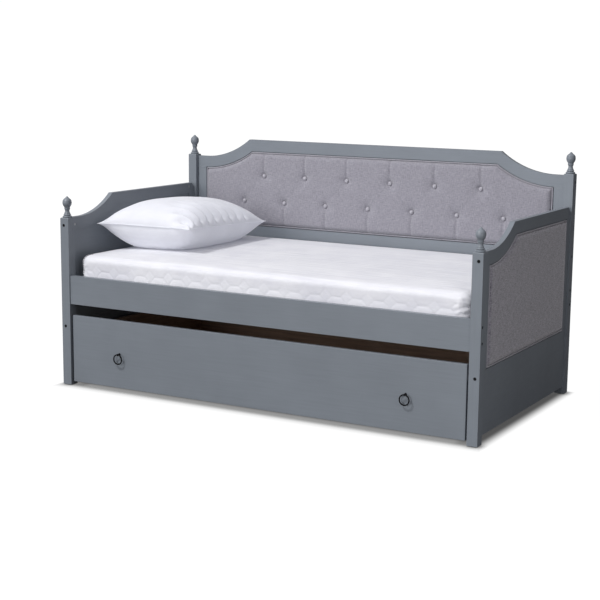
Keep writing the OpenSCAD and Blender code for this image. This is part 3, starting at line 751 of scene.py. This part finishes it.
def quilted(travel, z):
    """How far the cover stands out on the mattress's side: puffed inside a cell, sunk along its seams."""
    u = abs((travel + QUILT_PITCH / 2) % QUILT_PITCH - QUILT_PITCH / 2)
    deepest, puff = 9.0, 0.0
    for centre in QUILT_ROWS:
        w = abs(z - centre)
        gap = max(u - 0.0445, w - 0.0425, (u * 0.72 + w * 0.695) - 0.0455)
        deepest = min(deepest, abs(gap))
        if gap < 0:
            puff = min(-gap / 0.03, 1)
    strength = 0.55 if z > QUILT_FAINT else 1.0
    return strength * (0.0008 * math.sqrt(puff) - 0.0011 * bell(deepest, 0.0042))


def mattress_outline(half_x, half_y, corner, step):
    """Points round the mattress, from the left end of its front edge and counterclockwise from above."""
    points = []

    def run(ax, ay, bx, by):
        count = max(round(math.hypot(bx - ax, by - ay) / step), 1)
        for i in range(count):
            points.append((ax + (bx - ax) * i / count, ay + (by - ay) * i / count))

    def bend(cx, cy, start):
        count = round(math.pi / 2 * corner / step)
        for i in range(count):
            a = start + math.pi / 2 * i / count
            points.append((cx + corner * math.cos(a), cy + corner * math.sin(a)))

    ix, iy = half_x - corner, half_y - corner
    run(-ix, -half_y, ix, -half_y)
    bend(ix, -iy, -math.pi / 2)
    run(half_x, -iy, half_x, iy)
    bend(ix, iy, 0)
    run(ix, half_y, -ix, half_y)
    bend(-ix, iy, math.pi / 2)
    run(-half_x, iy, -half_x, -iy)
    bend(-ix, -iy, math.pi)
    return points


def mattress_profile(low_z, high_z, half_y):
    """The side's section from the base up and in: inset, height, and whether it is quilted."""
    round_top, round_base, lift = 0.042, 0.022, 0.031
    side_low, side_high = low_z + round_base, high_z - SIDE_DROP
    crown, slope_top, slope_end = high_z - CROWN_DROP, side_high + lift, 0.26
    profile = []
    for k in range(7):
        a = math.pi / 2 * k / 6
        profile.append((round_base * (1 - math.sin(a)), low_z + round_base * (1 - math.cos(a)), False))
    count = round((side_high - side_low) / 0.0036)
    for k in range(1, count):
        profile.append((0.0, side_low + (side_high - side_low) * k / count, True))
    # the top edge turns over, then the cover rises slowly towards the middle
    for k in range(11):
        a = math.pi / 2 * k / 10
        profile.append((round_top * (1 - math.cos(a)), side_high + lift * math.sin(a), True))
    for k in range(1, 20):
        t = k / 19
        inset = round_top + (slope_end - round_top) * t
        profile.append((inset, slope_top + (crown - slope_top) * (1 - (1 - t) ** 2), False))
    for inset in (0.32, 0.38, 0.44, half_y):
        profile.append((inset, crown, False))
    return profile


def make_mattress():
    low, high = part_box("mattress")
    middle = Vector(((low[0] + high[0]) / 2, (low[1] + high[1]) / 2))
    half_x, half_y = (high[0] - low[0]) / 2 - 0.003, (high[1] - low[1]) / 2 - 0.003
    base, crown, side_high = low[2], high[2] - CROWN_DROP, high[2] - SIDE_DROP
    corner = 0.05
    ix, iy = half_x - corner, half_y - corner
    points = mattress_outline(half_x, half_y, corner, 0.004)
    profile = mattress_profile(base, high[2], half_y)
    seam = Vector((-ix - corner * math.sin(SEAM_ANGLE), -iy - corner * math.cos(SEAM_ANGLE)))
    seam_at = min(range(len(points)), key=lambda n: (Vector(points[n]) - seam).length)

    verts, sewn = [], []
    travel = 0.0
    for index, (px, py) in enumerate(points):
        before = points[index - 1]
        travel += math.hypot(px - before[0], py - before[1]) if index else 0.0
        cx, cy = max(-ix, min(px, ix)), max(-iy, min(py, iy))
        out = Vector((px - cx, py - cy)).normalized()
        for inset, z, quilt in profile:
            x, y = px - out.x * inset, py - out.y * inset
            if inset > corner:
                x = math.copysign(min(abs(px), max(half_x - inset, 0)), px)
                y = math.copysign(min(abs(py), max(half_y - inset, 0)), py)
            push = 0.0
            if quilt:
                push = quilted(travel, z) * smooth_step(0.59, 0.572, z) * smooth_step(base, base + 0.03, z)
            if z > side_high and py > 0:
                # along the wall side the cover is boxed, with hardly any roll
                boxed = smooth_step(0.1, half_y - 0.12, y) * smooth_step(0.0, 0.004, inset)
                z = crown - (crown - z) * (1 - 0.8 * boxed)
            z += 0.0011 * ripple((x, y, 0), 0.11, 7) * smooth_step(0.02, 0.12, inset)
            if -iy > py and abs(px) > ix - 0.03:
                # puckers run in from the corner seam
                near = smooth_step(ix - 0.03, ix + 0.01, abs(px)) * smooth_step(0.12, 0.0, inset)
                push += near * (0.0045 if px > 0 else 0.002) * ripple((0.35 * x, 0.35 * y, z), 0.014, 21)
            verts.append((middle.x + x + out.x * push, middle.y + y + out.y * push, z))
            if index == seam_at and z > base + 0.03 and inset < 0.042:
                proud = push + 0.0003
                sewn.append(Vector((middle.x + x + out.x * proud, middle.y + y + out.y * proud, z + 0.0003)))
    rows = len(profile)
    faces = grid_faces(len(points), rows, closed=True)
    faces.append(tuple(i * rows for i in range(len(points) - 1, -1, -1)))
    return new_object("quilted_mattress", verts, faces, TICKING, weld=0.0004), sewn


def stitches(name, points, pitch, length, radius, mat):
    """Separate short stitches lying along a line of points."""
    sides, ends = 6, ((-0.5, 0.4), (-0.3, 1.0), (0.3, 1.0), (0.5, 0.4))
    travel, spots = 0.0, []
    for a, b in zip(points, points[1:]):
        gap = (b - a).length
        while travel < gap:
            spots.append((a + (b - a) * (travel / gap), (b - a) / gap))
            travel += pitch
        travel -= gap
    verts, faces = [], []
    for spot, way in spots:
        side = way.cross(Vector((0.3, 0.8, 0.5))).normalized()
        up = way.cross(side)
        first = len(verts)
        for along, fat in ends:
            for k in range(sides):
                a = 2 * math.pi * k / sides
                round_it = side * math.cos(a) + up * math.sin(a)
                verts.append(spot + way * length * along + round_it * radius * fat)
        for j in range(len(ends) - 1):
            low = first + sides * j
            for k in range(sides):
                m = (k + 1) % sides
                faces.append((low + k, low + m, low + sides + m, low + sides + k))
        faces.append(tuple(first + k for k in range(sides - 1, -1, -1)))
        faces.append(tuple(first + sides * (len(ends) - 1) + k for k in range(sides)))
    return new_object(name, verts, faces, mat, outwards=False)


mattress, seam_line = make_mattress()
stitching = stitches("mattress_stitching", seam_line, 0.0105, 0.0072, 0.0022, THREAD)
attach(stitching, "bedstead")
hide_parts("mattress")
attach(mattress, "bedstead")


# ------------------------------------------------------------------ pillow
# The four sewn corners, from the front left round to the rear left
PILLOW_TIPS = [Vector((x, y + FRONT, z)) for x, y, z in (
    (-0.960, 0.200, 0.722), (-0.497, 0.260, 0.720), (-0.516, 0.944, 0.690), (-0.970, 0.884, 0.700))]
PILLOW_HALF_X, PILLOW_HALF_Y = 0.235, 0.345
PILLOW_RISE, PILLOW_SINK = 0.113, 0.152
# Gathers along the pillow's right seam: place behind the front corner, width, length
GATHERS = ((0.030, 0.030, 0.12), (0.078, 0.034, 0.15), (0.138, 0.040, 0.19), (0.203, 0.042, 0.21),
           (0.268, 0.044, 0.20), (0.338, 0.044, 0.17), (0.405, 0.042, 0.14), (0.470, 0.038, 0.11),
           (0.535, 0.034, 0.08))


def seam_point(u, v):
    """A point of the sewn seam's sheet; u runs left to right and v front to back, both from -1 to 1."""
    a, b, c, d = PILLOW_TIPS
    # the edges pull in between the corners, which stay out as points
    su = u * (1 - 0.065 * (1 - abs(v) ** 5) ** 1.2)
    sv = v * (1 - 0.05 * (1 - abs(u) ** 5) ** 1.2)
    p, q = (su + 1) / 2, (sv + 1) / 2
    point = (a * (1 - p) + b * p) * (1 - q) + (d * (1 - p) + c * p) * q
    edge = max(abs(u), abs(v)) ** 6
    return point + Vector((0, 0, edge * 0.003 * ripple((point.x, point.y, 0), 0.075, 17)))


def swell(u, v):
    """How full the pillow is, from 0 on its seam to about 1, with thin corners."""
    corner = math.hypot((1 - abs(u)) * 0.233, (1 - abs(v)) * PILLOW_HALF_Y)
    full = (1 - abs(u) ** 2.7) ** 0.58 * (1 - abs(v) ** 3.4) ** 0.58
    return full * smooth_step(-0.04, 0.08, corner) + 0.07 * full ** 0.35 * (1 - full)


def gathered(u, v):
    """Raised rolls between creases that start at the right seam and run out towards the middle."""
    gap = (1 - u) * PILLOW_HALF_X
    along = (v + 1) * PILLOW_HALF_Y
    height = 0.0
    for at, width, length in GATHERS:
        fade = smooth_step(length, length * 0.25, gap)
        lean = along + 0.22 * gap - at
        crease = bell(lean, 0.0075 if lean < 0 else 0.018)
        roll = bell(lean + width * 0.4, width * 0.33)
        height += fade * (0.0085 * roll - 0.023 * crease)
    return height * smooth_step(0.0, 0.012, gap)


def make_pillow():
    """Two crowned panels meet at a seam. Cloth under pressure then fills and wrinkles them a little."""
    low_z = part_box("pillow")[0].z
    across, down = 56, 88
    ids, verts, faces, tops = {}, [], [], {}

    def spot(n, count):
        # closer together towards the seams
        t = 2 * n / count - 1
        return math.copysign(1 - (1 - abs(t)) ** 1.35, t) if abs(t) < 1 else t

    for layer in (0, 1):
        for i in range(across + 1):
            for j in range(down + 1):
                rim = i in (0, across) or j in (0, down)
                if rim and layer:
                    ids[(1, i, j)] = ids[(0, i, j)]
                    continue
                u, v = spot(i, across), spot(j, down)
                p = seam_point(u, v)
                if not rim and layer == 0:
                    p.z += (PILLOW_RISE + 0.003 * ripple((p.x, p.y, 0), 0.09, 3)) * swell(u, v)
                elif not rim:
                    p.z = max(p.z - PILLOW_SINK * swell(u, v), low_z + 0.0015)
                if layer == 0:
                    tops[len(verts)] = (u, v)
                ids[(layer, i, j)] = len(verts)
                verts.append(p)
    for layer in (0, 1):
        for i in range(across):
            for j in range(down):
                quad = [ids[(layer, i + di, j + dj)] for di, dj in ((0, 0), (1, 0), (1, 1), (0, 1))]
                faces.append(quad if layer == 0 else quad[::-1])
    case = new_object("pillow_case", verts, faces, SATEEN, outwards=False)
    seam = {ids[(0, i, j)] for i in range(across + 1) for j in range(down + 1)
            if i in (0, across) or j in (0, down)}
    swell_as_cloth(case, seam, 0.007, 18)
    for vert in case.data.vertices:
        vert.co.z = max(vert.co.z, low_z + 0.001)
    # the gathers are sewn in, so they follow the filling
    ways = [vert.normal.copy() for vert in case.data.vertices]
    for n, (u, v) in tops.items():
        case.data.vertices[n].co += ways[n] * gathered(u, v)
    rim = [ids[(0, i, 0)] for i in range(across)] + [ids[(0, across, j)] for j in range(down)]
    rim += [ids[(0, i, down)] for i in range(across, 0, -1)] + [ids[(0, 0, j)] for j in range(down, 0, -1)]
    return case, [case.data.vertices[n].co.copy() for n in rim]


def swell_as_cloth(obj, pinned, cap, frames):
    """Blows a closed shape up a little as cloth, with some points held, and keeps the result in the mesh."""
    start = [v.co.copy() for v in obj.data.vertices]
    hold = obj.vertex_groups.new(name="hold")
    hold.add(list(pinned), 1.0, "REPLACE")
    cloth = obj.modifiers.new("cloth", "CLOTH")
    settings = cloth.settings
    settings.quality = 5
    settings.mass = 0.2
    settings.tension_stiffness = 20
    settings.compression_stiffness = 20
    settings.shear_stiffness = 8
    settings.bending_stiffness = 0.4
    settings.vertex_group_mass = "hold"
    settings.use_pressure = True
    settings.uniform_pressure_force = 4
    settings.effector_weights.gravity = 0
    scene = bpy.context.scene
    for step in range(1, frames + 1):
        scene.frame_set(step)
    settled = obj.evaluated_get(bpy.context.evaluated_depsgraph_get()).to_mesh()
    moved = [v.co.copy() for v in settled.vertices]
    obj.modifiers.remove(cloth)
    scene.frame_set(1)
    for vert, before, after in zip(obj.data.vertices, start, moved):
        step = after - before
        vert.co = before + step * min(1, cap / max(step.length, 1e-9))
    obj.vertex_groups.remove(hold)


pillow, pillow_rim = make_pillow()
finer = pillow.modifiers.new("finer", "SUBSURF")
finer.levels = finer.render_levels = 1
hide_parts("pillow")
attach(pillow, "bedstead")


def seam_lip(name, rim, reach, thick, mat):
    """The sewn edge stands out from the pillow as a narrow flat lip."""
    middle = sum(rim, Vector()) / len(rim)
    root, edge = -0.0035, reach * 0.8
    section = ((root, thick), (edge, thick), (reach, 0), (edge, -thick), (root, -thick))
    verts, faces = [], []
    for i, p in enumerate(rim):
        way = (rim[(i + 1) % len(rim)] - rim[i - 1]).normalized()
        out = way.cross(Vector((0, 0, 1))).normalized()
        if out.dot(p - middle) < 0:
            out = -out
        for far, high in section:
            verts.append(p + out * far + Vector((0, 0, high)))
    for i in range(len(rim)):
        k = (i + 1) % len(rim)
        for j in range(len(section)):
            m = (j + 1) % len(section)
            faces.append(tuple(len(section) * a + b for a, b in ((i, j), (i, m), (k, m), (k, j))))
    return new_object(name, verts, faces, mat)


lip = seam_lip("pillow_seam", pillow_rim, 0.005, 0.0011, SATEEN)
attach(lip, "bedstead")
